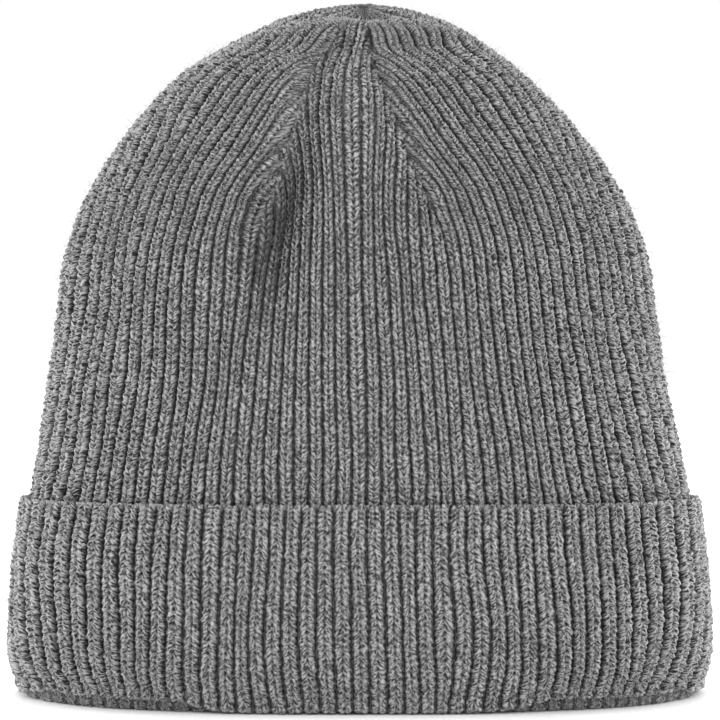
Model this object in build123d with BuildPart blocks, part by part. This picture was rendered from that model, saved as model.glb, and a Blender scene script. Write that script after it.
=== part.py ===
from build123d import *
import os
from math import copysign, cos, sin, sqrt, tau

# Knit beanie, in millimetres. +Z up, front towards -Y, origin on the floor under the middle.

# --- driving dimensions -------------------------------------------------------------------
total_width = 220.6          # across the turn-up at its widest
hat_height = 214.5           # floor to the top of the crown
cuff_height = 61.0           # of the turned-up band
body_half_width = 103.2      # of the tube inside the turn-up
depth_difference = 67.3      # half width less half depth, the same for every nested layer
wall = 3.2                   # thickness of the body's rib knit
clearance = 0.3              # between the body and the turn-up that slides on it
flatness = 2.8               # exponent across: 2 is an ellipse, more has a flatter front
side_fold = 2.1              # exponent in depth: 2 is an ellipse, less has tighter sides

body_foot = 2.0              # lower edge of the body, inside the turn-up
dome_start = 122.0           # where the straight taper ends and the dome begins
crown_base = 138.0           # where the four darts begin
dome_power = 2.2             # shape of the dome, 2 is elliptic
taper = 0.167                # half width lost per millimetre of height
lean_top = -2.4              # sideways lean of the crown
crown_flat = 0.3             # height of the top cut off to leave a small flat
roundness_gain = 0.16        # how much rounder the sections get towards the tip
crown_flatness = 2.3         # exponents reached in the crown, which has softly folded sides
crown_side_fold = 1.45

cuff_widest_height = 16.0    # of the turn-up's widest line
cuff_top_tuck = 4.0          # half width lost from there to its top edge
cuff_foot_tuck = 4.6         # half width lost from there to its foot
fold_height = 4.0            # rounded fold at the foot
inner_layer_top = 46.0       # of the turn-up's inner layer
inner_layer_half_width = 106.2
edge_height = 3.0            # cast-on welt along the turn-up's top

seam_width = 4.0             # of a linked seam's allowance
seam_depth = 2.0             # how far the allowance stands into the hat
seam_start = 6.0             # of the back seam, behind the crown's closing
knot_radius, knot_height = 3.5, 3.0
soft_edge = 1.0              # rounding of the knot's lower edge
welt_chamfer = 0.8           # along the turn-up's top edges

section_points = 32          # points on each closed cross-section
crown_levels = (0, 0.3, 0.55, 0.75, 0.88, 0.955, 0.985)    # lofted sections, as shares of the dome
tube_levels = (87.0, 105.0, dome_start, 130.0)            # lofted sections between cuff and dome
cuff_level_spacing = 9.0     # between lofted sections of the turn-up

cuff_half_width = total_width / 2
cuff_bore = body_half_width + clearance


def oval_points(half_width, half_depth, powers, lean):
    """Points round a superellipse, with an exponent each way, moved sideways by lean."""
    points = []
    for i in range(section_points):
        across = cos(tau * i / section_points)
        along = sin(tau * i / section_points)
        x = half_width * copysign(abs(across) ** (2 / powers[0]), across)
        y = half_depth * copysign(abs(along) ** (2 / powers[1]), along)
        points.append((x + lean, y))
    return points


def lofted(sections):
    """A closed solid through sections, each (height, half width, half depth, powers, lean)."""
    with BuildPart() as solid:
        for height, half_width, half_depth, powers, lean in sections:
            with BuildSketch(Plane.XY.offset(height)):
                with BuildLine():
                    Spline(*oval_points(half_width, half_depth, powers, lean), periodic=True)
                make_face()
        loft()
    return solid.part


def straight_oval(half_width, low, high):
    """A prism with the oval section, used for the layers inside the turn-up."""
    half_depth = half_width - depth_difference
    return lofted([(z, half_width, half_depth, (flatness, side_fold), 0) for z in (low, high)])


def body_section(height, inset):
    """The body's section at a height, moved inwards by inset."""
    above_cuff = max(height - cuff_height, 0)
    straight = body_half_width - inset - taper * above_cuff
    rise = max(height - dome_start, 0) / (hat_height - inset - dome_start)
    half_width = straight * sqrt(1 - min(rise, 1) ** dome_power)
    ratio = (body_half_width - depth_difference - inset) / (body_half_width - inset)
    half_depth = half_width * (ratio + roundness_gain * rise**2)
    change = min(max(height - cuff_height, 0) / (hat_height - inset - cuff_height), 1)
    powers = (
        flatness + (crown_flatness - flatness) * change,
        side_fold + (crown_side_fold - side_fold) * sin(tau / 2 * change),
    )
    lean = max(lean_top * above_cuff / (dome_start - body_foot), lean_top)
    return height, half_width, half_depth, powers, lean


def crown_solid(inset):
    """The dome above the darts' base, filled, moved inwards by inset."""
    top = hat_height - inset
    heights = [crown_base + (top - crown_base) * level for level in crown_levels]
    heights.append(top - crown_flat)
    return lofted([body_section(height, inset) for height in heights])


def tube_solid(inset, low):
    """The tube from low up to the darts' base, filled, moved inwards by inset."""
    heights = (cuff_height, *tube_levels, crown_base)
    with BuildPart() as solid:
        add(lofted([body_section(height, inset) for height in heights]))
        add(lofted([body_section(height, inset) for height in (low, cuff_height)]))
    return solid.part


def cuff_width_at(height):
    """Half width of the turn-up's outer face."""
    if height > cuff_widest_height:
        rise = (height - cuff_widest_height) / (cuff_height - cuff_widest_height)
        return cuff_half_width - cuff_top_tuck * rise**1.6
    return cuff_half_width - cuff_foot_tuck * (1 - height / cuff_widest_height) ** 2.5


def cuff_outer_solid(low, high):
    """The space inside the turn-up's outer face between two heights."""
    steps = max(2, round((high - low) / cuff_level_spacing))
    heights = [low + (high - low) * i / steps for i in range(steps + 1)]
    widths = [(z, cuff_width_at(z)) for z in heights]
    powers = (flatness, side_fold)
    return lofted([(z, w, w - depth_difference, powers, 0) for z, w in widths])


# --- body: one tube of rib knit, open at the foot ------------------------------------------
with BuildPart() as body_wall:
    add(tube_solid(0, body_foot))
    add(tube_solid(wall, body_foot), mode=Mode.SUBTRACT)
body_wall.part.label = "body_wall"
export_list = [body_wall.part]

# --- crown: four panels between four darts, closed by a gathered top -----------------------
with BuildPart() as crown_shell:
    add(crown_solid(0))
    add(crown_solid(wall), mode=Mode.SUBTRACT)

tip_left, tip_right, tip_front, tip_back = -8.0, 3.0, -5.0, 5.0
dart_left, dart_right, dart_depth = -36.0, 24.0, 33.0
reach = 4.0                  # dart directions are carried this many times outwards


def carried(tip, foot):
    """The far end of a dart's line, well outside the hat."""
    return tip + (foot - tip) * reach


far_left, far_right = carried(tip_left, dart_left), carried(tip_right, dart_right)
far_front, far_back = carried(tip_front, -dart_depth), carried(tip_back, dart_depth)
corner = {
    "front_left": ((tip_left, tip_front), (far_left, far_front)),
    "front_right": ((tip_right, tip_front), (far_right, far_front)),
    "back_left": ((tip_left, tip_back), (far_left, far_back)),
    "back_right": ((tip_right, tip_back), (far_right, far_back)),
}
beyond = 4 * total_width     # side regions are carried out this far


def crown_panel(label, outline):
    """The part of the crown shell over one region of the plan."""
    with BuildPart() as panel:
        add(crown_shell.part)
        with BuildSketch(Plane.XY.offset(crown_base)):
            with BuildLine():
                Polyline(*outline, close=True)
            make_face()
        extrude(amount=hat_height, mode=Mode.INTERSECT)
    panel.part.label = label
    return panel.part


def between(first, second, outer=()):
    """Plan region between two darts, with any extra corners on the far side."""
    return [corner[first][0], corner[first][1], *outer, corner[second][1], corner[second][0]]


left_side = ((-beyond, far_front), (-beyond, far_back))
right_side = ((beyond, far_front), (beyond, far_back))
tip_region = [(tip_left, tip_front), (tip_right, tip_front), (tip_right, tip_back), (tip_left, tip_back)]
export_list += [
    crown_panel("crown_front", between("front_left", "front_right")),
    crown_panel("crown_back", between("back_left", "back_right")),
    crown_panel("crown_left", between("front_left", "back_left", left_side)),
    crown_panel("crown_right", between("front_right", "back_right", right_side)),
    crown_panel("crown_closing", tip_region),
]

# --- linked seams: allowances that stand into the hat --------------------------------------
with BuildPart() as crown_allowance:
    add(crown_solid(wall))
    add(crown_solid(wall + seam_depth), mode=Mode.SUBTRACT)
with BuildPart() as body_allowance:
    add(tube_solid(wall, body_foot))
    add(tube_solid(wall + seam_depth, body_foot), mode=Mode.SUBTRACT)


def seam(label, layer, start, end, low):
    """A strip of an allowance layer along a line in plan."""
    run = Vector(*end) - Vector(*start)
    side = Vector(-run.Y, run.X).normalized() * (seam_width / 2)
    ends = [Vector(*start) + side, Vector(*end) + side, Vector(*end) - side, Vector(*start) - side]
    with BuildPart() as strip:
        add(layer.part)
        with BuildSketch(Plane.XY.offset(low)):
            with BuildLine():
                Polyline(*ends, close=True)
            make_face()
        extrude(amount=hat_height, mode=Mode.INTERSECT)
    strip.part.label = label
    return strip.part


dart_start = 0.03            # share of the carried line left free round the closing
for name, (inner, outer) in corner.items():
    inner_end = tuple(a + (b - a) * dart_start for a, b in zip(inner, outer))
    export_list.append(seam("dart_seam_" + name, crown_allowance, inner_end, outer, crown_base))

seam_x = (tip_left + tip_right) / 2
seam_ends = ((seam_x, tip_back + seam_start), (seam_x, far_back))
export_list.append(seam("back_seam_body", body_allowance, *seam_ends, body_foot))
export_list.append(seam("back_seam_crown", crown_allowance, *seam_ends, crown_base))

# --- fastened end of the closing yarn, under the gathered top ------------------------------
closing_underside = hat_height - wall - crown_flat
with BuildPart() as closing_knot:
    with BuildSketch(Plane.XY.offset(closing_underside - knot_height)):
        with Locations((lean_top, 0)):
            Circle(knot_radius)
    extrude(amount=knot_height)
    add(crown_solid(wall), mode=Mode.INTERSECT)
    fillet(closing_knot.edges().group_by(Axis.Z)[0], soft_edge)
closing_knot.part.label = "closing_knot"
export_list.append(closing_knot.part)

# --- turn-up: outer band, inner layer, fold and cast-on welt, sliding as one ---------------
edge_foot = cuff_height - edge_height


def outer_layer(label, mode):
    """The turn-up's outer layer: all but the strip of its back seam, or that strip alone."""
    with BuildPart() as layer:
        add(cuff_outer_solid(fold_height, edge_foot))
        add(straight_oval(inner_layer_half_width, fold_height, inner_layer_top), mode=Mode.SUBTRACT)
        add(straight_oval(cuff_bore, fold_height, edge_foot), mode=Mode.SUBTRACT)
        with BuildSketch(Plane.XY.offset(fold_height)):
            with Locations((0, cuff_half_width)):
                Rectangle(seam_width, total_width)
        extrude(amount=cuff_height, mode=mode)
    layer.part.label = label
    return layer.part


export_list.append(outer_layer("cuff_band", Mode.SUBTRACT))
export_list.append(outer_layer("cuff_seam", Mode.INTERSECT))

with BuildPart() as cuff_inner_layer:
    add(straight_oval(inner_layer_half_width, fold_height, inner_layer_top))
    add(straight_oval(cuff_bore, fold_height, inner_layer_top), mode=Mode.SUBTRACT)
cuff_inner_layer.part.label = "cuff_inner_layer"

with BuildPart() as cuff_fold:
    add(cuff_outer_solid(0, fold_height))
    add(straight_oval(cuff_bore, 0, fold_height), mode=Mode.SUBTRACT)
cuff_fold.part.label = "cuff_fold"

with BuildPart() as cuff_edge:
    add(cuff_outer_solid(edge_foot, cuff_height))
    add(straight_oval(cuff_bore, edge_foot, cuff_height), mode=Mode.SUBTRACT)
    chamfer(cuff_edge.edges().group_by(Axis.Z)[-1], welt_chamfer)
cuff_edge.part.label = "cuff_edge"

export_list += [cuff_inner_layer.part, cuff_fold.part, cuff_edge.part]

os.makedirs("parts", exist_ok=True)
for piece in export_list:
    export_step(piece, f"parts/{piece.label}.step")
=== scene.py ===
import bpy
import numpy as np
from math import pi, radians
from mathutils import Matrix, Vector


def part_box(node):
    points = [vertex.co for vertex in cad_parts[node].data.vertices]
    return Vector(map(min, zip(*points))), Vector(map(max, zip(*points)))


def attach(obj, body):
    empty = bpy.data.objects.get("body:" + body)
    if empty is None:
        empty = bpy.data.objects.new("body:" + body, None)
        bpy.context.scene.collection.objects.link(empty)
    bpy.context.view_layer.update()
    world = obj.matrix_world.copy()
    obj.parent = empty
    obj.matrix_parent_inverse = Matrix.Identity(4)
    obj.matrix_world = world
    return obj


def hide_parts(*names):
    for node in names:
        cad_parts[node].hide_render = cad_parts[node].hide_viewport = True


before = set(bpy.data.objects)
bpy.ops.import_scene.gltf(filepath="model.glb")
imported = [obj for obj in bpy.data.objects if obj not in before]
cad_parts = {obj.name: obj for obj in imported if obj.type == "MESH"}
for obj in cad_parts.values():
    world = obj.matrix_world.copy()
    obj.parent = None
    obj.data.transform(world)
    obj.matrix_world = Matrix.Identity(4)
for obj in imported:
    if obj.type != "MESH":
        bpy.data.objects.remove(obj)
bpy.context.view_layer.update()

# Everything is worked out in millimetres, and scaled to metres when a mesh is made.
MM = 0.001

# --- sizes read from the frame ---
HAT_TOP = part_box("crown_closing")[1].z / MM
BODY_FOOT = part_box("body_wall")[0].z / MM
CROWN_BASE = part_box("body_wall")[1].z / MM
BODY_HALF_WIDTH = (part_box("body_wall")[1].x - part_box("body_wall")[0].x) / 2 / MM
CUFF_HALF_WIDTH = (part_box("cuff_band")[1].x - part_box("cuff_band")[0].x) / 2 / MM
CUFF_HALF_DEPTH = (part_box("cuff_band")[1].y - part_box("cuff_band")[0].y) / 2 / MM
CUFF_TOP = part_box("cuff_edge")[1].z / MM
EDGE_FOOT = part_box("cuff_edge")[0].z / MM
FOLD_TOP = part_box("cuff_fold")[1].z / MM
INNER_LAYER_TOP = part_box("cuff_inner_layer")[1].z / MM
DEPTH_DIFFERENCE = CUFF_HALF_WIDTH - CUFF_HALF_DEPTH

# --- shape of the hat, the same formulas as the CAD part ---
FLATNESS, SIDE_FOLD = 2.8, 2.1  # the section's exponents across and in depth
CROWN_FLATNESS, CROWN_SIDE_FOLD = 2.3, 1.45  # what they change to in the crown
WALL = 3.2  # thickness of the knit
DOME_START = 122.0  # where the dome begins above the straight taper
DOME_POWER = 2.2
TAPER = 0.167  # half width lost per millimetre of height
LEAN = -2.4  # sideways lean of the crown
ROUNDNESS_GAIN = 0.16  # how much rounder the sections get towards the tip
CUFF_WIDEST_HEIGHT = 16.0
CUFF_TOP_TUCK = 4.0  # half width lost from there to the turn-up's top
CUFF_FOOT_TUCK = 4.6  # half width lost from there to its foot

# The soft knit stands a little further out than the CAD part round the start of the dome.
FULLNESS = 2.2
FULLEST = 142.0  # height where it stands out most
FULLNESS_SPREAD = 28.0

# --- the knit ---
BODY_RIBS = 98
CUFF_RIBS = 92
COURSE = 2.07  # height of one row of stitches
ACROSS = 12  # mesh columns on each rib
ALONG = 0.45  # spacing of mesh rows
INNER_ALONG = 0.9  # the same inside the hat
RIB_SHARE = 0.37  # half of a knit column, as a share of the rib's pitch
GUTTER = 2.7  # depth of the purl gutter between ribs
INNER_GUTTER = 0.8  # the same on the inside, where the knit is pulled flat
EDGE_STRETCH = 0.15  # how much wider the ribs get towards the hat's sides

noise_source = np.random.default_rng(11)


# --- small helpers ---
def smooth(low, high, value):
    """0 below low, 1 above high, and a smooth step between."""
    t = np.clip((value - low) / (high - low), 0, 1)
    return t * t * (3 - 2 * t)


def bell(value, width):
    """1 where value is 0, falling off over about a width each way."""
    return np.exp(-((value / width) ** 2))


def lattice(rows, columns):
    """Random numbers from -1 to 1 for wavy(), which wraps round both ways."""
    return noise_source.uniform(-1, 1, (rows, columns))


def wavy(grid, u, v):
    """Smooth noise from a lattice: u counts its rows, v its columns."""
    u, v = np.broadcast_arrays(u, v)
    i, j = np.floor(u).astype(int), np.floor(v).astype(int)
    s, t = u - i, v - j
    s, t = s * s * (3 - 2 * s), t * t * (3 - 2 * t)
    i0, i1 = i % grid.shape[0], (i + 1) % grid.shape[0]
    j0, j1 = j % grid.shape[1], (j + 1) % grid.shape[1]
    low = grid[i0, j0] * (1 - t) + grid[i0, j1] * t
    high = grid[i1, j0] * (1 - t) + grid[i1, j1] * t
    return low * (1 - s) + high * s


def running_length(points):
    """Distance along a line of points, from 0 at its first."""
    step = np.linalg.norm(np.diff(points, axis=0), axis=1)
    return np.concatenate([[0], np.cumsum(step)])


def spaced(low, high, spacing):
    """Evenly spaced values from low to high, as near to the spacing as fits."""
    return np.linspace(low, high, max(2, round((high - low) / spacing) + 1))


# --- camera, before anything is made ---
CAMERA_DISTANCE = 558.0  # from the hat's axis
CAMERA_HEIGHT = 103.3
FRAME_WIDTH = 225.4  # what the picture spans at the hat's axis


def make_camera():
    data = bpy.data.cameras.new("camera")
    data.sensor_width = 36.0
    data.lens = data.sensor_width * CAMERA_DISTANCE / FRAME_WIDTH
    data.clip_start, data.clip_end = 0.01, 20.0
    camera = bpy.data.objects.new("camera", data)
    camera.location = (0, -CAMERA_DISTANCE * MM, CAMERA_HEIGHT * MM)
    camera.rotation_euler = (pi / 2, 0, 0)
    bpy.context.scene.collection.objects.link(camera)
    bpy.context.scene.camera = camera


make_camera()


# --- the hat's surfaces ---
def oval(theta, half_width, half_depth, powers):
    """Points of a superellipse with an exponent across and one in depth."""
    across, along = np.cos(theta), np.sin(theta)
    x = half_width * np.sign(across) * np.abs(across) ** (2 / powers[0])
    y = half_depth * np.sign(along) * np.abs(along) ** (2 / powers[1])
    return x, y


def body_section(z, inset=0.0):
    """Half width, half depth, exponents and sideways lean of the body at heights z."""
    above_cuff = np.maximum(z - CUFF_TOP, 0)
    straight = BODY_HALF_WIDTH - inset - TAPER * above_cuff
    rise = np.clip((z - DOME_START) / (HAT_TOP - inset - DOME_START), 0, 1)
    half_width = straight * np.sqrt(1 - rise**DOME_POWER) + FULLNESS * bell(z - FULLEST, FULLNESS_SPREAD)
    ratio = (BODY_HALF_WIDTH - DEPTH_DIFFERENCE - inset) / (BODY_HALF_WIDTH - inset)
    half_depth = half_width * (ratio + ROUNDNESS_GAIN * rise**2)
    change = np.clip(above_cuff / (HAT_TOP - inset - CUFF_TOP), 0, 1)
    flatness = FLATNESS + (CROWN_FLATNESS - FLATNESS) * change
    side_fold = SIDE_FOLD + (CROWN_SIDE_FOLD - SIDE_FOLD) * np.sin(pi * change)
    lean = np.maximum(LEAN * above_cuff / (DOME_START - BODY_FOOT), LEAN)
    return half_width, half_depth, (flatness, side_fold), lean


def cuff_half_width(z):
    """Half width of the turn-up's outer face at heights z."""
    rise = np.clip((z - CUFF_WIDEST_HEIGHT) / (CUFF_TOP - CUFF_WIDEST_HEIGHT), 0, 1)
    drop = np.clip(1 - z / CUFF_WIDEST_HEIGHT, 0, 1)
    return CUFF_HALF_WIDTH - CUFF_TOP_TUCK * rise**1.6 - CUFF_FOOT_TUCK * drop**2.5


TABLE_HEIGHTS = np.linspace(CUFF_TOP, HAT_TOP - 0.05, 97)
TABLE_SHARES = 1024
DEPTH_RUN = 0.9  # how much a rib's run in depth counts beside its run across
RUN_POWER = 6  # high, so that the larger of the two runs sets the ribs' spacing


def turn_table():
    """For each table height, the angle at even shares of the way round from the back, and the
    way round in millimetres.

    Ribs are spaced by the larger of their run across and their run in depth, and a little
    wider towards the sides.
    """
    share = np.linspace(0, 1, TABLE_SHARES + 1)
    theta = np.linspace(pi / 2, 5 * pi / 2, 4097)
    turns, rounds = [], []
    for z in TABLE_HEIGHTS:
        half_width, half_depth, powers, _ = body_section(z)
        x, y = oval(theta, half_width, half_depth, powers)
        run, depth_run = np.abs(np.diff(x)), DEPTH_RUN * np.abs(np.diff(y))
        step = (run**RUN_POWER + depth_run**RUN_POWER) ** (1 / RUN_POWER)
        step *= 1 - EDGE_STRETCH * (x[1:] / half_width) ** 4
        length = np.concatenate([[0], np.cumsum(step)])
        turns.append(np.interp(share, length / length[-1], theta))
        rounds.append(length[-1])
    return np.array(turns), np.array(rounds)


TURN, ROUND = turn_table()


def angle_at(p, z):
    """The superellipse angle at share p of the way round, at height z."""
    p, z = np.broadcast_arrays(p, z)
    spacing = TABLE_HEIGHTS[1] - TABLE_HEIGHTS[0]
    row = np.clip((z - TABLE_HEIGHTS[0]) / spacing, 0, len(TABLE_HEIGHTS) - 1.001)
    column = (p % 1.0) * TABLE_SHARES
    i, j = row.astype(int), np.minimum(column.astype(int), TABLE_SHARES - 1)
    s, t = row - i, column - j
    low = TURN[i, j] * (1 - t) + TURN[i, j + 1] * t
    high = TURN[i + 1, j] * (1 - t) + TURN[i + 1, j + 1] * t
    return low * (1 - s) + high * s


def way_round(z):
    """Length of the hat's section at heights z, as the ribs are spaced."""
    return np.interp(z, TABLE_HEIGHTS, ROUND)


def narrowing(z):
    """Way round at heights z as a share of that at the crown's base: 1 there, 0 at the tip."""
    share = way_round(z) / way_round(CROWN_BASE)
    return np.minimum(share, 1.0)


def meridian_table(p):
    """Heights up the crown and the distance up the surface to each, at share p."""
    t = np.linspace(0, 1, 3000)
    crowding = 2.2  # draws the heights together towards the tip
    z = CROWN_BASE + (HAT_TOP - CROWN_BASE) * (1 - (1 - t) ** crowding)
    half_width, half_depth, powers, lean = body_section(z)
    x, y = oval(angle_at(np.full_like(z, p), z), half_width, half_depth, powers)
    return z, running_length(np.stack([x + lean, y, z], axis=-1))


FRONT_MERIDIAN = meridian_table(0.5)
SIDE_MERIDIAN = meridian_table(0.25)


def up_the_crown(z, meridian):
    """Distance up the surface from the crown's base to heights z, negative below it."""
    return np.where(z < CROWN_BASE, z - CROWN_BASE, np.interp(z, *meridian))


# --- darts ---
# Each dart's place as a share of the way round from the panel's middle: at the tip, and how
# much further out it is at the crown's base.
LEFT_DART_TIP, LEFT_DART_OPENING = 0.059, 0.034
RIGHT_DART_TIP, RIGHT_DART_OPENING = 0.004, 0.074

DART_DEPTH = 2.6  # how far the surface is drawn in at a right dart
DART_REACH = 2.8  # how far from the dart that is felt
LEFT_DART_DEPTH = 4.4  # the same at a left dart, where it is felt further on the inner side
LEFT_DART_REACH = 2.4
LEFT_DART_INNER_REACH = 8.0
CLEAR_OF_AXIS = 14.0  # grooves are cut less deep nearer to the axis than this

FOLD_DEPTH = 4.0  # of the slack fold beside the left dart
FOLD_PLACE = 6.5  # from that dart towards the front's middle
FOLD_REACH = 8.5
FOLD_HEIGHT = 144.0  # where it is deepest
FOLD_LENGTH = 27.0
FOLD_PAINTED_SHADE = 0.50  # painted shade: how much the yarn's colour is darkened in it, for the shade of the fold
SLACK_SHARE = 0.22  # how much of the fold's effect the slack front round it has
SLACK_PLACE = 36.0  # middle of that slack front, from the left dart
SLACK_REACH = 36.0
SLACK_LENGTH = 48.0


def dart_shares(z):
    """The left and right darts' shares of the way round from a panel's middle, at heights z."""
    front_length = FRONT_MERIDIAN[1][-1]
    down = np.clip(1 - up_the_crown(z, FRONT_MERIDIAN) / front_length, 0, 1)
    left = LEFT_DART_TIP + LEFT_DART_OPENING * down**2
    right = RIGHT_DART_TIP + RIGHT_DART_OPENING * down**0.85
    return left, right


def slack_fold(p, z):
    """The slack fold inside the left darts, and the slack knit round it, front and back."""
    left, _ = dart_shares(z)
    front = (p - 0.5 + left) * way_round(z)
    back = (left - (p + 0.5) % 1.0 + 0.5) * way_round(z)
    fold = bell(front - FOLD_PLACE, FOLD_REACH) + bell(back - FOLD_PLACE, FOLD_REACH)
    slack = bell(front - SLACK_PLACE, SLACK_REACH) + bell(back - SLACK_PLACE, SLACK_REACH)
    height = z - FOLD_HEIGHT
    return fold * bell(height, FOLD_LENGTH) + SLACK_SHARE * slack * bell(height, SLACK_LENGTH)


def dart_groove(p, z):
    """How far the darts draw the surface in, at shares p and heights z."""
    left, right = dart_shares(z)
    strength = smooth(CROWN_BASE - 12, CROWN_BASE + 26, z) * smooth(HAT_TOP, HAT_TOP - 12, z)
    round_ = way_round(z)
    groove = 0
    for middle in (0.0, 0.5):
        offset = ((p - middle + 0.5) % 1.0 - 0.5) * (1 if middle else -1)
        from_left, from_right = (offset + left) * round_, (offset - right) * round_
        reach = np.where(from_left > 0, LEFT_DART_INNER_REACH, LEFT_DART_REACH)
        groove = groove + LEFT_DART_DEPTH * bell(from_left, reach)
        groove = groove + DART_DEPTH * bell(from_right, DART_REACH)
    return groove * strength + FOLD_DEPTH * slack_fold(p, z)


# --- the gathered tip ---
TIP_X, TIP_Y = 1.0, -5.0  # where the ribs meet
RIM_DROP = 4.5  # how far the front rim lies below the ridge behind it
RIM_MIDDLE, RIM_SPREAD = -3.0, 34.0
TIP_DIMPLE = 1.2  # depth of the hollow round the tip
DIMPLE_WIDTH, DIMPLE_DEPTH = 7.0, 3.5  # its reach across and from front to back
SETTLE_FROM, SETTLE_FULL = 178, 207  # heights where the rim's drop begins and is full
SHIFT_FROM, SHIFT_FULL = 192, 214  # the same for the sections' shift to TIP_X
DRAW_FROM, DRAW_FULL = 200, 214.5  # and for their shift to TIP_Y

LUMPS_ROUND = 14  # soft lumps round the hat
LUMP_HEIGHT = 30.0
LUMP_SIZE = 0.010  # as a share of the distance from the axis
LUMPS = lattice(9, LUMPS_ROUND)


def crown_settle(x, y, z):
    """The front rim drops below the ridge behind it, and the tip is drawn in."""
    high = smooth(SETTLE_FROM, SETTLE_FULL, z)
    rim = RIM_DROP * smooth(1.5, -4.5, y) * bell(x - RIM_MIDDLE, RIM_SPREAD)
    dimple = TIP_DIMPLE * bell(x - TIP_X, DIMPLE_WIDTH) * bell(y - TIP_Y, DIMPLE_DEPTH)
    x = x + (TIP_X - LEAN) * smooth(SHIFT_FROM, SHIFT_FULL, z)
    y = y + TIP_Y * smooth(DRAW_FROM, DRAW_FULL, z)
    return x, y, z - high * (rim + dimple)


def body_point(p, z, inset=0.0):
    """Points of the body and crown at shares p of the way round and heights z."""
    half_width, half_depth, powers, lean = body_section(z, inset)
    x, y = oval(angle_at(p, z), half_width, half_depth, powers)
    lumps = wavy(LUMPS, z / LUMP_HEIGHT, p * LUMPS_ROUND)
    swell = 1 + LUMP_SIZE * lumps * smooth(70, 110, z)
    groove = dart_groove(p, z)
    drawn_in = 1 - groove / np.maximum(np.hypot(x, y), CLEAR_OF_AXIS)
    x, y = x * swell * drawn_in + lean, y * swell * drawn_in
    x, y, z = crown_settle(x, y, z + 0 * p)
    return np.stack(np.broadcast_arrays(x, y, z), axis=-1)


def layer_point(p, z, half_width):
    """Points of a layer of the turn-up, whose sections all nest in each other."""
    theta = angle_at(p, np.full_like(p * z, CUFF_TOP))
    x, y = oval(theta, half_width, half_width - DEPTH_DIFFERENCE, (FLATNESS, SIDE_FOLD))
    return np.stack(np.broadcast_arrays(x, y, z), axis=-1)


# --- stitches ---
STITCH_SLOPE = 0.82  # rows that a stitch leg climbs over a knit column's half width
LEG_REACH = 1.1  # where a leg stops climbing, in those half widths
OUT_OF_STEP = 0.10  # rows by which a rib's stitches may be out of step
SIZES = 251  # stitches up a rib before their sizes repeat
SIZE_EFFECT = 0.09  # how much a stitch's size changes its width
COLUMN_TOP = 0.40  # half width of a column's flat top, as a share of the column's half
COLUMN_SIDE = 0.76  # width of its rounded side
PINCH = 0.16  # how much narrower it is between stitches
SLIT_DEPTH, SLIT_WIDTH = 0.26, 0.18  # of the slit up its middle
HOLE_DEPTH, HOLE_WIDTH = 0.42, 0.28  # of the holes along the slit, between stitches
CREASE_DEPTH = 0.18  # between one leg and the next
PURL_HEIGHT = 0.08  # of the purl bumps in the gutter
LUMPINESS = 0.11
HIGHEST = 1.15
SWELL, SWELL_ROWS = 0.08, 9  # of slow changes up a rib
DRIFT, DRIFT_ROWS = 0.22, 12  # how far a rib strays, as a share of its pitch, and in how many rows
LEG_ANGLE = 44.0  # of a stitch leg, in degrees from upright


class Knit:
    """A rib knit's count of ribs, which way up its stitches are, and its own unevenness."""

    def __init__(self, ribs, upright):
        self.ribs = ribs
        self.upright = 1 if upright else -1
        self.drift = lattice(31, ribs // 2)
        self.swell = lattice(37, ribs)
        self.size = lattice(ribs, SIZES)
        self.offset = lattice(ribs, 1)[:, 0]
        self.lumps = lattice(173, 3 * ribs)


BODY_KNIT = Knit(BODY_RIBS, upright=True)
CUFF_KNIT = Knit(CUFF_RIBS, upright=False)


def relief(knit, rib, course):
    """The knit's height at each point, from 1 at the tops of the legs to 0 in the gutters.

    rib counts ribs, whole at a rib's middle; course counts rows of stitches upwards.
    """
    number = np.round(rib).astype(int)
    r = rib - number
    number = number % knit.ribs
    x = np.abs(r) / RIB_SHARE
    climb = STITCH_SLOPE * np.minimum(x, LEG_REACH)
    phase = course - knit.upright * climb + OUT_OF_STEP * knit.offset[number]
    stitch = np.round(phase).astype(int)
    size = knit.size[number, (2 * stitch + (r > 0)) % SIZES]
    between = 0.5 - 0.5 * np.cos(2 * pi * (phase + 0.05 * size))
    x = x * (1 + PINCH * (between - 0.5) - SIZE_EFFECT * size)
    column = np.sqrt(np.clip(1 - (np.maximum(x - COLUMN_TOP, 0) / COLUMN_SIDE) ** 2, 0, 1))
    slit = SLIT_DEPTH * bell(x, SLIT_WIDTH) + HOLE_DEPTH * between**2 * bell(x, HOLE_WIDTH)
    crease = CREASE_DEPTH * between**1.5
    swell = 1 + 0.07 * size + SWELL * wavy(knit.swell, course / SWELL_ROWS, rib)
    purl = PURL_HEIGHT * (0.5 + 0.5 * np.cos(2 * pi * course)) * smooth(0.95, 1.25, x)
    lumps = LUMPINESS * wavy(knit.lumps, 1.4 * course, 3 * rib)
    return np.clip(column * (1 - slit - crease) * swell + purl + lumps, 0, HIGHEST)


def wander(knit, rib, course):
    """Ribs aren't ruled lines: they drift by a small share of their pitch."""
    return rib + DRIFT * wavy(knit.drift, course / DRIFT_ROWS, rib / 2.0)


def yarn_coordinates(knit, rib, course, pitch):
    """Coordinates across and along the stitch legs, for the fibre pattern of the material.

    The third one sets each rib, and each side of it, in its own part of the pattern.
    """
    r = rib - np.round(rib)
    across, up = np.abs(r) * pitch, knit.upright * course * COURSE
    lean = radians(LEG_ANGLE)
    u = across * np.cos(lean) - up * np.sin(lean)
    v = across * np.sin(lean) + up * np.cos(lean)
    w = np.round(rib) * 3.71 + (r > 0) * 1.9
    return np.stack([u, v, w], axis=-1)


def normals(points):
    """Unit normals of a grid of points, outwards when columns run round and rows run up."""
    up = np.gradient(points, axis=0)
    round_ = np.gradient(points, axis=1)
    normal = np.cross(round_, up)
    return normal / np.maximum(np.linalg.norm(normal, axis=-1, keepdims=True), 1e-9)


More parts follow.
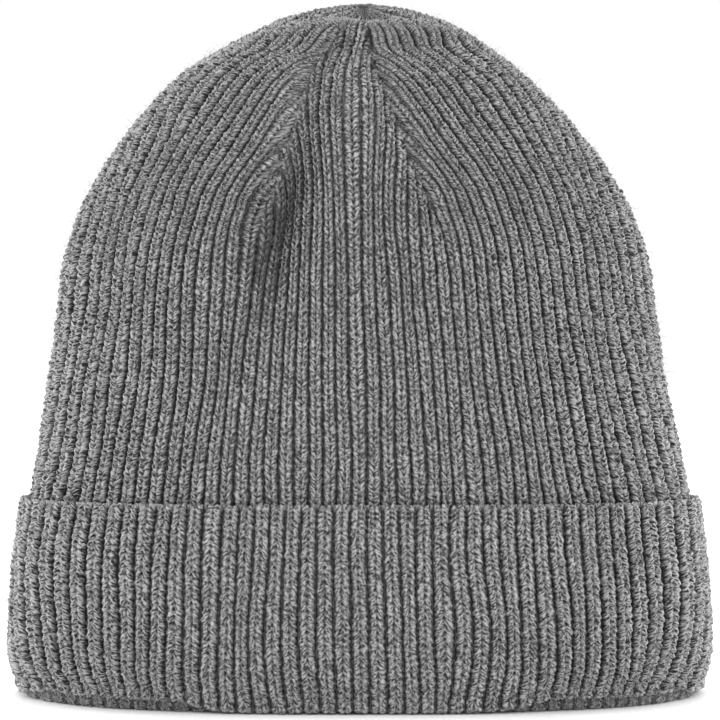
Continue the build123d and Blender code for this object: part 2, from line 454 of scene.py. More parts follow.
class Sheet:
    """A grid of points with the yarn coordinates and the knit's depth at each; the depth also sets
    painted shade.
    """

    def __init__(self, points, yarn, depth):
        self.points, self.yarn, self.depth = points, yarn, depth

    def thinned(self, strides):
        """Its rows, of whose columns only one in each stride is kept."""
        grids = (self.points, self.yarn, self.depth)
        rows, yarn, depth = ([row[::n] for row, n in zip(grid, strides)] for grid in grids)
        return rows, np.concatenate(yarn), np.concatenate(depth)


def knitted(knit, base, rib, course, pitch, depth=GUTTER, inside=False, scale=1.0):
    """A sheet of knit on a base surface; inside shows the reverse, where gutters are ribs."""
    rib = wander(knit, rib, course)
    height = relief(knit, rib + (0.5 if inside else 0), course)
    sink = (depth * scale * (1 - height))[..., None]
    points = base + normals(base) * (sink if inside else -sink)
    return Sheet(points, yarn_coordinates(knit, rib, course, pitch), 1 - height)


# --- meshes ---
def zipper(a, b):
    """Triangles between two lines of vertices that may differ in number."""
    m, k = len(a) - 1, len(b) - 1
    when = np.concatenate([(np.arange(m) + 0.5) / m, (np.arange(k) + 0.5) / k])
    on_a = np.concatenate([np.ones(m, bool), np.zeros(k, bool)])
    on_a = on_a[np.argsort(when, kind="stable")]
    i = np.concatenate([[0], np.cumsum(on_a)])[:-1]
    j = np.concatenate([[0], np.cumsum(~on_a)])[:-1]
    third = np.where(on_a, a[np.minimum(i + 1, m)], b[np.minimum(j + 1, k)])
    return np.stack([a[i], third, b[j]], axis=-1)


def number_rows(rows, start):
    """Vertex numbers for rows of points, and the next free number."""
    numbers = []
    for row in rows:
        numbers.append(np.arange(start, start + len(row)))
        start += len(row)
    return numbers, start


def rim_of(rows):
    """Vertex numbers round the edge of a sheet."""
    ends = [row[0] for row in rows] + [row[-1] for row in rows]
    return np.concatenate([rows[0], rows[-1], ends])


def closed_shell(outer, inner):
    """Triangles of a closed shell, two sheets joined along their edges, and its rim vertices."""
    a, count = number_rows(outer, 0)
    b, count = number_rows(inner, count)
    faces = [zipper(low, high) for low, high in zip(a, a[1:])]
    faces += [zipper(low, high)[:, ::-1] for low, high in zip(b, b[1:])]
    faces += [zipper(b[0], a[0]), zipper(a[-1], b[-1])]
    first_a, first_b = np.array([row[0] for row in a]), np.array([row[0] for row in b])
    last_a, last_b = np.array([row[-1] for row in a]), np.array([row[-1] for row in b])
    faces += [zipper(first_a, first_b), zipper(last_b, last_a)]
    return np.concatenate(faces), np.concatenate([rim_of(a), rim_of(b)])


def make_piece(name, body, node, material, points, faces, yarn, depth=None, rim=()):
    """A mesh piece from arrays in millimetres, with its yarn and depth attributes."""
    mesh = bpy.data.meshes.new(name)
    mesh.vertices.add(len(points))
    mesh.vertices.foreach_set("co", (points * MM).astype(np.float32).ravel())
    mesh.loops.add(faces.size)
    mesh.loops.foreach_set("vertex_index", faces.astype(np.int32).ravel())
    mesh.polygons.add(len(faces))
    mesh.polygons.foreach_set("loop_start", np.arange(0, faces.size, 3, dtype=np.int32))
    mesh.polygons.foreach_set("use_smooth", np.ones(len(faces), bool))
    mesh.update(calc_edges=True)
    attribute = mesh.attributes.new("yarn", "FLOAT_VECTOR", "POINT")
    attribute.data.foreach_set("vector", yarn.astype(np.float32).ravel())
    depth = np.zeros(len(points)) if depth is None else depth
    # painted shade: the material darkens the colour by this depth attribute
    attribute = mesh.attributes.new("depth", "FLOAT", "POINT")
    attribute.data.foreach_set("value", depth.astype(np.float32).ravel())
    sharpen(mesh, rim)
    mesh.materials.append(material)
    piece = bpy.data.objects.new(name, mesh)
    bpy.context.scene.collection.objects.link(piece)
    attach(piece, body)
    if node:
        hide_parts(node)
    return piece


def sharpen(mesh, rim):
    """Marks the edges along a shell's rim as sharp, so that neighbours meet without a line."""
    on_rim = np.zeros(len(mesh.vertices), bool)
    on_rim[np.array(rim, int)] = True
    ends = np.empty(2 * len(mesh.edges), np.int32)
    mesh.edges.foreach_get("vertices", ends)
    sharp = on_rim[ends.reshape(-1, 2)].all(axis=1)
    attribute = mesh.attributes.new("sharp_edge", "BOOLEAN", "EDGE")
    attribute.data.foreach_set("value", sharp)


def shell_piece(name, body, node, material, outer, inner, strides=None):
    """A closed piece between an outer and an inner sheet; strides thin the outer one's rows."""
    strides = [1] * len(outer.points) if strides is None else strides
    rows, yarn, depth = outer.thinned(strides)
    faces, rim = closed_shell(rows, list(inner.points))
    points = np.concatenate(rows + [inner.points.reshape(-1, 3)])
    yarn = np.concatenate([yarn, inner.yarn.reshape(-1, 3)])
    depth = np.concatenate([depth, inner.depth.ravel()])
    return make_piece(name, body, node, material, points, faces, yarn, depth, rim)


UNLIKE = np.array([0.31, 0.17, 0.93])  # a direction that no strand runs along


def tube(points, radius, sides=8, closed=False):
    """Vertices, faces and yarn coordinates of a round strand along a line of points."""
    along = np.gradient(points, axis=0)
    if closed:
        along = np.roll(points, -1, axis=0) - np.roll(points, 1, axis=0)
    along /= np.linalg.norm(along, axis=1, keepdims=True)
    side = np.cross(along, UNLIKE)
    side /= np.linalg.norm(side, axis=1, keepdims=True)
    up = np.cross(side, along)
    turn = np.linspace(0, 2 * pi, sides, endpoint=False)
    ring = np.cos(turn)[None, :, None] * side[:, None] + np.sin(turn)[None, :, None] * up[:, None]
    vertices = (points[:, None] + radius * ring).reshape(-1, 3)
    count = len(points)
    i = np.arange(count if closed else count - 1)[:, None] * sides
    j = np.arange(sides)[None, :]
    after = (j + 1) % sides
    above = (i + sides) % (count * sides)
    first = np.stack([i + j, above + after, i + after], axis=-1).reshape(-1, 3)
    second = np.stack([i + j, above + j, above + after], axis=-1).reshape(-1, 3)
    faces = [first, second]
    if not closed:
        fan = np.arange(1, sides - 1)
        low = np.stack([0 * fan, fan, fan + 1], axis=-1)
        faces += [low, (low + (count - 1) * sides)[:, ::-1]]
    faces = np.concatenate(faces)[:, ::-1]
    length = running_length(points)
    yarn = np.stack(np.broadcast_arrays(turn[None, :] * 0.5, length[:, None], 0.0), axis=-1)
    return vertices, faces, yarn.reshape(-1, 3)


def strands_piece(name, body, node, material, strands):
    """One piece of several separate closed strands."""
    vertices, faces, yarns, count = [], [], [], 0
    for number, (points, triangles, yarn) in enumerate(strands):
        vertices.append(points)
        faces.append(triangles + count)
        yarns.append(yarn + [0, 0, 2.7 * number])
        count += len(points)
    return make_piece(name, body, node, material, np.concatenate(vertices),
                      np.concatenate(faces), np.concatenate(yarns))


# --- materials ---
def add_node(material, kind, settings, feeds):
    """A new node; settings are values of its inputs, and feeds are the sockets linked to them."""
    node = material.node_tree.nodes.new("ShaderNode" + kind)
    for key, value in settings.items():
        node.inputs[key].default_value = value
    for key, source in feeds.items():
        material.node_tree.links.new(source, node.inputs[key])
    return node


def attribute(material, name):
    """A node that reads a mesh attribute."""
    node = add_node(material, "Attribute", {}, {})
    node.attribute_name = name
    return node


def noise(material, detail, stretch, place):
    """Noise over a place, first scaled by its own amount in each direction."""
    stretched = add_node(material, "VectorMath", {1: stretch}, {0: place})
    stretched.operation = "MULTIPLY"
    settings = {"Scale": 1.0, "Detail": detail}
    texture = add_node(material, "TexNoise", settings, {"Vector": stretched.outputs[0]})
    return texture.outputs["Fac"]


def ranged(material, value, from_low, from_high, to_low, to_high):
    """A value taken from one range to another, and held within it."""
    settings = {"From Min": from_low, "From Max": from_high, "To Min": to_low, "To Max": to_high}
    return add_node(material, "MapRange", settings, {"Value": value}).outputs["Result"]


def product(material, first, second):
    node = add_node(material, "Math", {}, {0: first, 1: second})
    node.operation = "MULTIPLY"
    return node.outputs[0]


FIBRE_GRAIN = (3.4, 0.95, 5.0)  # fibres are much longer along the yarn than across it
BUMP_GRAIN = (3.8, 0.9, 5.0)
PATCH_GRAIN = (60, 60, 60)  # uneven dyeing, in patches a few centimetres wide
GAP_SHADE = 0.02  # how much light is left deep in the knit's gaps


def knit_material(name, dark, light):
    """Matt heather yarn: light and dark fibres mixed along the stitch legs, with painted shade that
    darkens the colour where the depth attribute is high, deepest in the knit's gaps.
    """
    material = bpy.data.materials.new(name)
    material.use_nodes = True
    shader = material.node_tree.nodes["Principled BSDF"]
    shader.inputs["Roughness"].default_value = 0.9
    shader.inputs["Specular IOR Level"].default_value = 0.2
    shader.inputs["Sheen Weight"].default_value = 0.5
    shader.inputs["Sheen Roughness"].default_value = 0.5

    yarn = attribute(material, "yarn").outputs["Vector"]
    gap = attribute(material, "depth").outputs["Fac"]
    place = add_node(material, "TexCoord", {}, {}).outputs["Object"]
    shade = ranged(material, noise(material, 3.0, FIBRE_GRAIN, yarn), 0.43, 0.57, dark, light)
    patches = ranged(material, noise(material, 3.0, PATCH_GRAIN, place), 0.3, 0.7, 0.92, 1.08)
    # painted shade: the colour is darkened by the depth attribute, down to GAP_SHADE deep in the gaps
    painted_gap_shade = ranged(material, gap, 0.22, 0.70, 1.0, GAP_SHADE)
    colour = product(material, product(material, shade, patches), painted_gap_shade)
    bump = add_node(material, "Bump", {"Strength": 0.9, "Distance": 0.0008},
                    {"Height": noise(material, 4.0, BUMP_GRAIN, yarn)})
    links = material.node_tree.links
    links.new(colour, shader.inputs["Base Color"])
    links.new(bump.outputs["Normal"], shader.inputs["Normal"])
    return material


BODY_YARN = knit_material("heather_body", 0.012, 0.415)
CUFF_YARN = knit_material("heather_cuff", 0.012, 0.435)
SEAM_YARN = knit_material("heather_seam", 0.015, 0.30)


# --- body ---
BODY_PITCH = float(way_round(CROWN_BASE)) / BODY_RIBS
CUFF_PITCH = float(way_round(CUFF_TOP)) / CUFF_RIBS
FINE_FROM = 54.0  # below this the turn-up hides the body, and its mesh is coarser


def body_sheet(p, z, inset=0.0, inside=False):
    """The body's knit over a grid of shares p and heights z."""
    p, z = np.broadcast_arrays(p, z)
    base = body_point(p, z, inset)
    depth = INNER_GUTTER if inside else GUTTER
    sheet = knitted(BODY_KNIT, base, BODY_RIBS * p, z / COURSE, BODY_PITCH, depth, inside)
    # painted shade: the colour is darkened in the slack fold and the slack front round it
    sheet.depth = sheet.depth + FOLD_PAINTED_SHADE * slack_fold(p, z)
    return sheet


def make_body():
    """The body tube in quarters, and its foot inside the turn-up."""
    quarters = ("back_left", "front_left", "front_right", "back_right")
    levels = {
        "foot": (BODY_FOOT, FINE_FROM, INNER_ALONG),
        "upper": (FINE_FROM, CROWN_BASE, ALONG),
    }
    for level, (low, high, spacing) in levels.items():
        for i, quarter in enumerate(quarters):
            columns = ACROSS * BODY_RIBS // 4
            p = np.linspace(i / 4, (i + 1) / 4, columns + 1)[None, :]
            outer = body_sheet(p, spaced(low, high, spacing)[:, None])
            inner = body_sheet(p[:, ::2], spaced(low, high, INNER_ALONG)[:, None], WALL, True)
            shell_piece(f"body_{level}_{quarter}", "hat", "body_wall", BODY_YARN,
                        outer, inner)


make_body()


# --- crown ---
TIP_CUT = 0.02  # the panels stop this far under the top
ROW_LEAN = 0.5  # how steeply the rows of stitches lean on the side panels' top
TIP_RELIEF = 0.75  # the relief that is left at the tip, as a share
SIDES = {0.25: 1, 0.75: -1}  # middles of the side panels, and which way their ribs cross over
CROSSING = 0.032  # how far the front's ribs pass over the sides, as a share round
RIDGE_CROSSING = 0.032  # how far more of them pass over the ridge at the top
GATHERED = 0.26  # the share of the ribs that no dart cuts, and that reach the tip
WIDENING = 0.24  # how much wider the ribs get up the crown


def crown_heights(top, spacing):
    """Heights up the crown, evenly spaced along its side, from the base to the top."""
    z, length = SIDE_MERIDIAN
    highest = np.interp(top, z, length)
    return np.interp(spaced(0, highest, spacing), length, z)


def ribs_left(z):
    """The share of a panel's ribs that the darts have left at heights z."""
    left = (narrowing(z) ** 3 + GATHERED**3) ** (1 / 3) / (1 + GATHERED**3) ** (1 / 3)
    widening = 1 + WIDENING * smooth(CROWN_BASE + 12, CROWN_BASE + 46, z)
    return left ** smooth(CROWN_BASE - 6, CROWN_BASE + 12, z) / widening


def crown_rib(p, z, middle):
    """Rib numbers in a crown panel, whose ribs keep their width and so end at the darts.

    On the side panels the ribs climb more steeply than the hat's outline, and cross over it.
    """
    crossed = CROSSING * smooth(CROWN_BASE + 2, CROWN_BASE + 62, z)
    crossed = crossed + RIDGE_CROSSING * smooth(HAT_TOP - 15, HAT_TOP, z)
    return BODY_RIBS * (middle + SIDES.get(middle, 0) * crossed + (p - middle) * ribs_left(z))


def crown_sheet(edges, middle, z, columns, inset=0.0, inside=False):
    """A crown panel's knit between two edges, each a function giving shares p at heights z."""
    z = z[:, None]
    low, high = edges[0](z), edges[1](z)
    p = low + (high - low) * np.linspace(0, 1, columns + 1)[None, :]
    z = z + 0 * p
    base = body_point(p, z, inset)
    rib = crown_rib(p, z, middle)
    on_side = middle in SIDES
    length = up_the_crown(z, SIDE_MERIDIAN if on_side else FRONT_MERIDIAN)
    lean = ROW_LEAN * (z - CROWN_BASE) / (HAT_TOP - CROWN_BASE) if on_side else 0
    from_side = np.abs(rib - BODY_RIBS * middle) * BODY_PITCH
    course = (CROWN_BASE + length + lean * from_side) / COURSE
    fade = TIP_RELIEF + (1 - TIP_RELIEF) * smooth(HAT_TOP, HAT_TOP - 5, z)
    depth = INNER_GUTTER if inside else GUTTER
    sheet = knitted(BODY_KNIT, base, rib, course, BODY_PITCH, depth, inside, fade)
    # painted shade: the colour is darkened in the slack fold and the slack front round it
    sheet.depth = sheet.depth + FOLD_PAINTED_SHADE * slack_fold(p, z)
    return sheet


def dart_edge(side, sign, centre):
    """An edge of a crown panel that follows a dart."""
    return lambda z: centre + sign * dart_shares(z)[side]


def straight_edge(p):
    """An edge of a crown panel that goes straight up to the tip."""
    return lambda z: p + 0 * z


# The strides over a row's columns where the crown is narrower than a share of its base.
STRIDES = ((0.56, 2), (0.28, 4), (0.14, 8))


def strides_at(z):
    """How many mesh columns each row of the crown steps over, more of them near the tip."""
    strides = np.ones(len(z), int)
    for share, stride in STRIDES:
        strides[narrowing(z) < share] = stride
    return strides


def make_crown():
    """Six crown pieces: front, back, and each side panel in a front and a back half."""
    left, right = 0, 1
    panels = {
        "front": ("crown_front", dart_edge(left, -1, 0.5), dart_edge(right, 1, 0.5), 0.5),
        "left_fore": ("crown_left", straight_edge(0.25), dart_edge(left, -1, 0.5), 0.25),
        "left_rear": ("crown_left", dart_edge(left, 1, 0.0), straight_edge(0.25), 0.25),
        "right_fore": ("crown_right", dart_edge(right, 1, 0.5), straight_edge(0.75), 0.75),
        "right_rear": ("crown_right", straight_edge(0.75), dart_edge(right, -1, 1.0), 0.75),
        "back": ("crown_back", dart_edge(right, -1, 0.0), dart_edge(left, 1, 0.0), 0.0),
    }
    z = crown_heights(HAT_TOP - TIP_CUT, ALONG)
    inner_z = crown_heights(HAT_TOP - TIP_CUT - WALL, INNER_ALONG)
    strides = strides_at(z)
    longest = max(strides)
    for name, (node, start, end, middle) in panels.items():
        widest = float(np.max(end(z) - start(z)))
        columns = longest * round(widest * BODY_RIBS * ACROSS / longest)
        outer = crown_sheet((start, end), middle, z, columns)
        inner = crown_sheet((start, end), middle, inner_z, columns // 2, WALL, True)
        shell_piece(f"crown_{name}_knit", "hat", node, BODY_YARN,
                    outer, inner, strides)


make_crown()


# --- seams inside the hat ---
SEAM_WIDTH = 4.0
SEAM_COLUMNS = 12  # mesh columns across a seam
SEAM_DEPTH = 1.9
SEAM_GAP = 0.1  # between the wall's inner face and the allowance
SEAM_RELIEF = 0.9  # depth of its stitches
SEAM_BELOW_TOP = 8.0  # the crown's seams end this far under the top


def seam_sheet(centre, z, inset, depth):
    """A strip of a linked seam, two columns of stitches wide, on the inside of the hat."""
    z = z[:, None]
    offset = np.linspace(-SEAM_WIDTH / 2, SEAM_WIDTH / 2, SEAM_COLUMNS + 1)[None, :]
    p = centre(z) + offset / way_round(z)
    base = body_point(p, z + 0 * p, inset)
    rib = offset / (SEAM_WIDTH / 2) + 0 * z
    course = z / COURSE + 0 * p
    return knitted(BODY_KNIT, base, rib, course, SEAM_WIDTH / 2, depth=depth, inside=True)


def make_seam(name, centre, z):
    """A seam allowance: its plain side against the wall, its stitched side into the hat."""
    top = seam_sheet(centre, z, WALL + SEAM_GAP, 0.0)
    under = seam_sheet(centre, z, WALL + SEAM_DEPTH, SEAM_RELIEF)
    shell_piece(name, "hat", name, SEAM_YARN, top, under)


def make_seams():
    crown_z = crown_heights(HAT_TOP - SEAM_BELOW_TOP, INNER_ALONG)
    left, right = 0, 1
    make_seam("dart_seam_front_left", dart_edge(left, -1, 0.5), crown_z)
    make_seam("dart_seam_front_right", dart_edge(right, 1, 0.5), crown_z)
    make_seam("dart_seam_back_left", dart_edge(left, 1, 0.0), crown_z)
    make_seam("dart_seam_back_right", dart_edge(right, -1, 0.0), crown_z)
    make_seam("back_seam_crown", straight_edge(0.0), crown_z)
    make_seam("back_seam_body", straight_edge(0.0), spaced(BODY_FOOT, CROWN_BASE, INNER_ALONG))


make_seams()


# --- closing of the crown ---
WRAPS = 6  # turns of yarn over the gathered tip
WRAP_RADIUS = 0.52  # of the yarn
WRAP_SPACING = 0.85
WRAP_REACH = 1.9  # half width of the widest turn
WRAP_BULGE = 0.9  # how far the turns stand out in front
WRAP_PLACE = (TIP_X + 2.9, TIP_Y - 2.8, HAT_TOP - 8.6)
LOWEST_WRAP = -2.4  # from that place
KNOT_RADIUS = 0.65  # of the yarn
KNOT_RING = 2.2  # radius of the knot's middle line
KNOT_SWING = 0.9  # how far the line swings in and out
KNOT_RISE = 1.1  # how far it goes over and under
KNOT_PLACE = (TIP_X, TIP_Y + 2.0, HAT_TOP - 13.0)


def make_wraps():
    """Yarn wrapped over the gathered tip."""
    turn = np.linspace(0, pi, 15)
    strands = []
    for i in range(WRAPS):
        rise = LOWEST_WRAP + WRAP_SPACING * i
        reach = WRAP_REACH * np.sqrt(1 - (rise / 3.4) ** 2)
        x = WRAP_PLACE[0] - reach * np.cos(turn)
        y = WRAP_PLACE[1] - WRAP_BULGE * np.sin(turn) - 0.30 * rise
        z = WRAP_PLACE[2] + rise + 0.25 * np.sin(turn + i)
        strands.append(tube(np.stack([x, y, z], axis=-1), WRAP_RADIUS))
    strands_piece("closing_wraps", "hat", "crown_closing", BODY_YARN, strands)


def make_knot():
    """The knot inside the hat that fastens the closing yarn: a trefoil."""
    turn = np.linspace(0, 2 * pi, 72, endpoint=False)
    ring = KNOT_RING + KNOT_SWING * np.cos(3 * turn)
    x = KNOT_PLACE[0] + ring * np.cos(2 * turn)
    y = KNOT_PLACE[1] + ring * np.sin(2 * turn)
    z = KNOT_PLACE[2] + KNOT_RISE * np.sin(3 * turn)
    knot = tube(np.stack([x, y, z], axis=-1), KNOT_RADIUS, closed=True)
    strands_piece("closing_yarn_knot", "hat", "closing_knot", SEAM_YARN, [knot])


make_wraps()
make_knot()


# --- turn-up ---
CUFF_INNER = BODY_HALF_WIDTH + 0.6  # half width of the turn-up's innermost face
BAND = 3.0  # thickness of the outer layer
BAND_INNER = 105.9  # greatest half width of the outer layer's inner face
LAYER_GAP = 0.2  # between the outer layer and the one inside it

CORNER_PULL = 0.0145  # how far the corner ribs draw in at the foot, as a share round
CORNER_PLACE = 0.038  # where they draw in most, from the side, as a share round
CORNER_HEIGHT = 44.0  # above this they run straight

LIFT = 3.3  # how far the outer layer's foot is raised towards the sides
LIFT_FROM, LIFT_FULL = 36, 64  # distances from the middle where that begins and is full
EASE_FROM, EASE_FULL = 96, 108  # and where it eases off again at the corners
EASE = 0.6  # the share of the lift that is lost there
LIFT_HEIGHT = 20.0  # the lift dies out by this height
RAGGEDNESS = 0.12  # how unevenly the foot is raised

FOOT_FULL = 7.0  # height where the knit at the foot reaches its full depth
FOOT_RELIEF = 0.35  # the share of that depth at the very foot
LIP_RADIUS = 1.2  # of the outer layer's rounded foot
LIP_CENTRE = (BAND_INNER + 0.6, 1.5)
LIP_TOP = 3.2
INNER_LIP = ((BAND_INNER - 0.3, 1.0), (BAND_INNER, 3.4))
INNER_FACE_FOOT = 8.0  # from here up the inner face follows the outer one
UNDER_RELIEF = 0.4  # depth of the knit on the inner faces
UNDER_SPACING = 1.2  # of mesh rows there
LAYER_RELIEF = 0.5  # of the knit on the layer inside the outer one
LAYER_ACROSS = 6  # mesh columns on each of its ribs

FOLD_OUTER = BAND_INNER - 0.9  # half widths of the fold's faces
FOLD_INNER = CUFF_INNER - 0.2
FOLD_SPACING = 0.35  # of mesh rows on the fold
FOLD_NOTCH = 1.3  # depth of the gaps between the stitches along its foot
LAYER_PAINTED_SHADE = 0.42  # painted shade: the fold's colour is darkened at least this much, for the shade of the outer layer over it


def cuff_rib(p, z):
    """Rib numbers round the turn-up; near its foot the ribs draw in from the corners."""
    from_side = p % 0.5 - 0.25
    place = from_side / CORNER_PLACE
    pull = place * np.exp(0.5 - 0.5 * place**2)
    drop = np.clip(1 - z / CORNER_HEIGHT, 0, 1) ** 1.3
    return CUFF_RIBS * (p - CORNER_PULL * pull * drop)


def foot_lift(p, z):
    """How far the outer layer's foot is raised, which shows the layer under it."""
    x = np.abs(layer_point(p, z, CUFF_HALF_WIDTH)[..., 0])
    ragged = 1 + RAGGEDNESS * wavy(LUMPS, 3.3, p * 4 * LUMPS_ROUND)
    eased = 1 - EASE * smooth(EASE_FROM, EASE_FULL, x)
    lift = LIFT * smooth(LIFT_FROM, LIFT_FULL, x) * eased * ragged
    return lift * np.clip(1 - z / LIFT_HEIGHT, 0, 1)


def cuff_sheet(p, path, depth=GUTTER, inside=False, lifted=False):
    """Knit along a path of (half width, height) swept round shares p."""
    half_width, z = path[:, 0][:, None], path[:, 1][:, None]
    p, z, half_width = np.broadcast_arrays(p, z, half_width)
    if lifted:
        z = z + foot_lift(p, z)
    base = layer_point(p, z, half_width)
    course = (running_length(path)[:, None] + path[0, 1]) / COURSE + 0 * p
    scale = FOOT_RELIEF + (1 - FOOT_RELIEF) * smooth(0, FOOT_FULL, z) if lifted else 1.0
    return knitted(CUFF_KNIT, base, cuff_rib(p, z), course, CUFF_PITCH, depth, inside, scale)


def path_through(corners, spacing):
    """A path through (half width, height) corners with evenly spaced points."""
    corners = np.array(corners, float)
    length = running_length(corners)
    even = spaced(0, length[-1], spacing)
    return np.stack([np.interp(even, length, corners[:, i]) for i in (0, 1)], axis=1)


def outer_face(low, high):
    """Corners up the turn-up's outer face."""
    return [(cuff_half_width(z), z) for z in spaced(low, high, 2.0)]


def arc(centre, radius, start, end, count=9):
    """Points on an arc in (half width, height), angles in degrees from the outward direction."""
    turn = np.radians(np.linspace(start, end, count))
    return [(centre[0] + radius * np.cos(a), centre[1] + radius * np.sin(a)) for a in turn]


def shares_between(p0, p1, across=ACROSS):
    """Shares of the way round for the mesh columns between two shares."""
    columns = 2 * round((p1 - p0) * CUFF_RIBS * across / 2)
    return np.linspace(p0, p1, columns + 1)[None, :]


def make_cuff_part(node, outer_corners, inner_corners, parts, lifted=False, depth=GUTTER,
                   across=ACROSS, along=ALONG):
    """Pieces of one layer of the turn-up, each between two shares of the way round."""
    for label, p0, p1 in parts:
        p = shares_between(p0, p1, across)
        outer = cuff_sheet(p, path_through(outer_corners, along), depth, False, lifted)
        under = path_through(inner_corners, UNDER_SPACING)
        inner = cuff_sheet(p[:, ::2], under, UNDER_RELIEF, True, lifted)
        shell_piece(node + label, "cuff", node, CUFF_YARN, outer, inner)


CUFF_ROUND = 470.0  # about the way round the turn-up
SEAM_SHARE = SEAM_WIDTH / 2 / CUFF_ROUND
SEAM_STRIP = (("_strip", -SEAM_SHARE, SEAM_SHARE),)
QUARTERS = (
    ("_back_left", SEAM_SHARE, 0.25),
    ("_front_left", 0.25, 0.5),
    ("_front_right", 0.5, 0.75),
    ("_back_right", 0.75, 1 - SEAM_SHARE),
)
HALVES = (("_front", 0.25, 0.75), ("_back", 0.75, 1.25))


def make_band():
    """The outer layer, from its rounded foot to the welt, and the strip of its back seam."""
    lip = arc(LIP_CENTRE, LIP_RADIUS, -100, -10)
    outer = lip + outer_face(LIP_TOP, EDGE_FOOT)
    inner = list(INNER_LIP)
    for z in spaced(INNER_FACE_FOOT, EDGE_FOOT, 4.0):
        inner.append((np.clip(cuff_half_width(z) - BAND, CUFF_INNER, BAND_INNER), z))
    make_cuff_part("cuff_band", outer, inner, QUARTERS, lifted=True)
    make_cuff_part("cuff_seam", outer, inner, SEAM_STRIP, lifted=True)


def make_welt():
    """The rounded cast-on edge along the top."""
    top = cuff_half_width(CUFF_TOP)
    half = (top - CUFF_INNER) / 2
    outer = outer_face(EDGE_FOOT, CUFF_TOP - half - 0.2)
    outer += arc((top - half, CUFF_TOP - half), half, 0, 90)
    inner = [(CUFF_INNER, EDGE_FOOT)]
    inner += arc((CUFF_INNER + half, CUFF_TOP - half), half, 180, 91)
    make_cuff_part("cuff_edge", outer, inner, HALVES)


def make_inner_layer():
    """The layer between the outer one and the body."""
    face = float(cuff_half_width(INNER_LAYER_TOP)) - BAND - LAYER_GAP
    outer = [(face, FOLD_TOP), (face, INNER_LAYER_TOP)]
    inner = [(CUFF_INNER, FOLD_TOP), (CUFF_INNER, INNER_LAYER_TOP)]
    make_cuff_part("cuff_inner_layer", outer, inner, HALVES, depth=LAYER_RELIEF,
                   across=LAYER_ACROSS, along=INNER_ALONG)


def make_fold():
    """The rounded second layer at the foot, which shows where the outer one is raised."""
    half = (FOLD_OUTER - FOLD_INNER) / 2
    bottom = arc(((FOLD_OUTER + FOLD_INNER) / 2, half), half, -180, 0, 13)
    path = path_through([(FOLD_INNER, FOLD_TOP)] + bottom + [(FOLD_OUTER, FOLD_TOP)], FOLD_SPACING)
    notch = smooth(FOLD_TOP, 0, path[:, 1])[:, None] * FOLD_NOTCH
    lid_path = np.array([(FOLD_INNER, FOLD_TOP), (FOLD_OUTER, FOLD_TOP)])
    for label, p0, p1 in HALVES:
        p = shares_between(p0, p1)
        sheet = cuff_sheet(p, path, 0.0)
        sheet.points[..., 2] += notch * sheet.depth
        # painted shade: the fold is darkened as if shaded by the outer layer
        sheet.depth = np.maximum(sheet.depth, LAYER_PAINTED_SHADE)
        lid = cuff_sheet(p[:, ::2], lid_path, 0.0)
        shell_piece("cuff_fold" + label, "cuff", "cuff_fold", CUFF_YARN, sheet, lid)


make_band()
make_welt()
make_inner_layer()
make_fold()


# --- loose fibres ---
FIBRE_LENGTH = 1.9
FIBRE_RADIUS = 0.03
FIBRE_ROOT = 1.0  # how deep a loose fibre starts in the knit
FIBRE_STRAY = 0.5  # how far its direction strays
FIBRE_BEND = 0.45  # how far it bends half way
FIBRE_SIDES = 3


def fibre_piece(name, body, material, roots, outward):
    """Loose fibres that stand off the knit at its roots, each a thin prism bent once."""
    count = len(roots)
    stray = noise_source.normal(0, 1, (count, 3))
    lean = noise_source.uniform(0.1, 0.8, (count, 1))
    away = outward * lean + FIBRE_STRAY * stray
    away /= np.linalg.norm(away, axis=1, keepdims=True)
    bent = away + FIBRE_BEND * noise_source.normal(0, 1, (count, 3))
    half = FIBRE_LENGTH / 2 * noise_source.uniform(0.3, 1.0, (count, 1))
    start = roots - FIBRE_ROOT * outward
    middle = roots + half * away
    line = np.stack([start, middle, middle + half * bent], axis=1)
    side = np.cross(away, UNLIKE)
    side /= np.linalg.norm(side, axis=1, keepdims=True)
    turn = np.linspace(0, 2 * pi, FIBRE_SIDES, endpoint=False)
    ring = np.cos(turn)[:, None, None] * side + np.sin(turn)[:, None, None] * np.cross(away, side)
    points = line[:, :, None] + FIBRE_RADIUS * ring.transpose(1, 0, 2)[:, None]
    faces = [(0, 2, 1), (6, 7, 8)]
    for low in (0, FIBRE_SIDES):
        high = low + FIBRE_SIDES
        for i in range(FIBRE_SIDES):
            j = (i + 1) % FIBRE_SIDES
            faces += [(low + i, low + j, high + j), (low + i, high + j, high + i)]
    corners = 3 * FIBRE_SIDES
    faces = np.array(faces)[None] + corners * np.arange(count)[:, None, None]
    yarn = np.repeat(noise_source.uniform(0, 40, (count, 1, 3)), corners, axis=1)
    make_piece(name, body, None, material, points.reshape(-1, 3), faces.reshape(-1, 3),
               yarn.reshape(-1, 3))


def scattered(surface, count, low, high):
    """Random places on a surface of shares p and heights z, with their outward directions."""
    p, z = noise_source.uniform(0, 1, count), noise_source.uniform(low, high, count)
    here = surface(p, z)
    outward = np.cross(surface(p + 1e-3, z) - here, surface(p, z + 0.2) - here)
    return here, outward / np.linalg.norm(outward, axis=1, keepdims=True)


def cuff_face(p, z):
    """Points of the turn-up's outer face."""
    return layer_point(p, z, cuff_half_width(z))


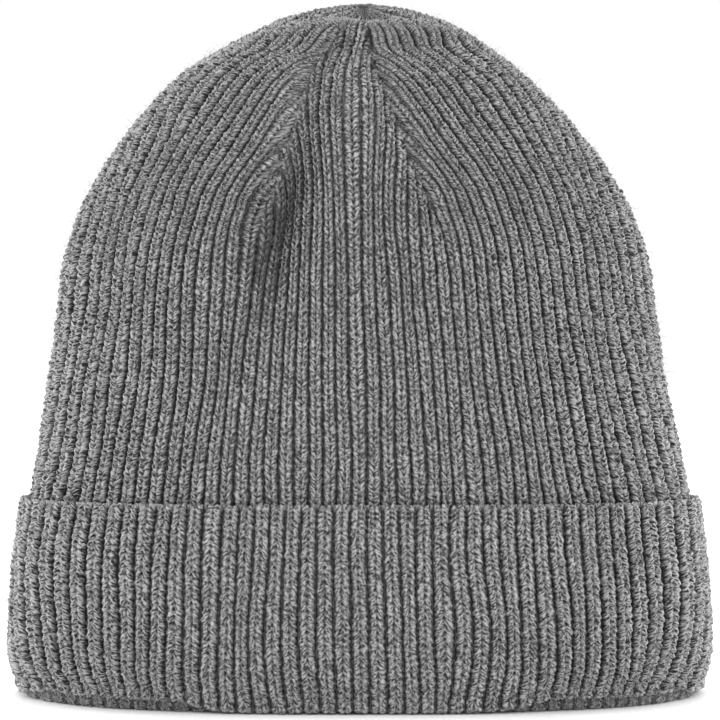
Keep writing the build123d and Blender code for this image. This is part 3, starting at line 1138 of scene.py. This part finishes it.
def make_fibres():
    """Loose fibres over the body, the crown and the turn-up."""
    areas = (
        ("body", "hat", "body_knit", BODY_YARN, body_point, 5200, CUFF_TOP + 1, CROWN_BASE),
        ("crown", "hat", "body_knit", BODY_YARN, body_point, 6400, CROWN_BASE, HAT_TOP - 1.5),
        ("cuff", "cuff", "cuff_knit", CUFF_YARN, cuff_face, 4200, 4, CUFF_TOP - 1),
    )
    for name, body, slot, material, surface, count, low, high in areas:
        roots, outward = scattered(surface, count, low, high)
        fibre_piece(name + "_loose_fibres", body, material, roots, outward)


make_fibres()


# --- stage ---
FLOOR_SIZE = 6.0  # half its side, in metres
FLOOR_COLOUR = (0.9, 0.9, 0.9, 1)
SKY_COLOUR = (1, 1, 1, 1)
SKY = 1.0
SUN_SPREAD = 60  # of each soft light, in degrees


def make_floor():
    """A plain pale floor, which stays under the turn-up that the hat stands on."""
    mesh = bpy.data.meshes.new("floor")
    size = FLOOR_SIZE
    corners = [(-size, -size, 0), (size, -size, 0), (size, size, 0), (-size, size, 0)]
    mesh.from_pydata(corners, [], [(0, 1, 2, 3)])
    floor = bpy.data.objects.new("floor", mesh)
    bpy.context.scene.collection.objects.link(floor)
    material = bpy.data.materials.new("floor")
    material.use_nodes = True
    shader = material.node_tree.nodes["Principled BSDF"]
    shader.inputs["Base Color"].default_value = FLOOR_COLOUR
    shader.inputs["Roughness"].default_value = 0.9
    mesh.materials.append(material)
    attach(floor, "cuff")


def make_sky():
    """Plain white light from all round."""
    world = bpy.data.worlds.new("studio")
    bpy.context.scene.world = world
    world.use_nodes = True
    background = world.node_tree.nodes["Background"]
    background.inputs["Color"].default_value = SKY_COLOUR
    background.inputs["Strength"].default_value = SKY


def soft_sun(name, strength, place):
    """A very soft light from the direction of a place."""
    data = bpy.data.lights.new(name, "SUN")
    data.energy = strength
    data.angle = radians(SUN_SPREAD)
    light = bpy.data.objects.new(name, data)
    light.rotation_euler = (-Vector(place)).to_track_quat("-Z", "Y").to_euler()
    bpy.context.scene.collection.objects.link(light)


make_floor()
make_sky()
soft_sun("studio_front", 0.3, (0.15, -0.8, 0.7))
soft_sun("studio_above", 2.0, (0.0, 0.5, 0.9))
soft_sun("studio_left", 2.6, (-1.0, 0.1, 0.4))
soft_sun("studio_right", 2.4, (1.0, 0.1, 0.4))
bpy.context.scene.view_settings.view_transform = "Standard"
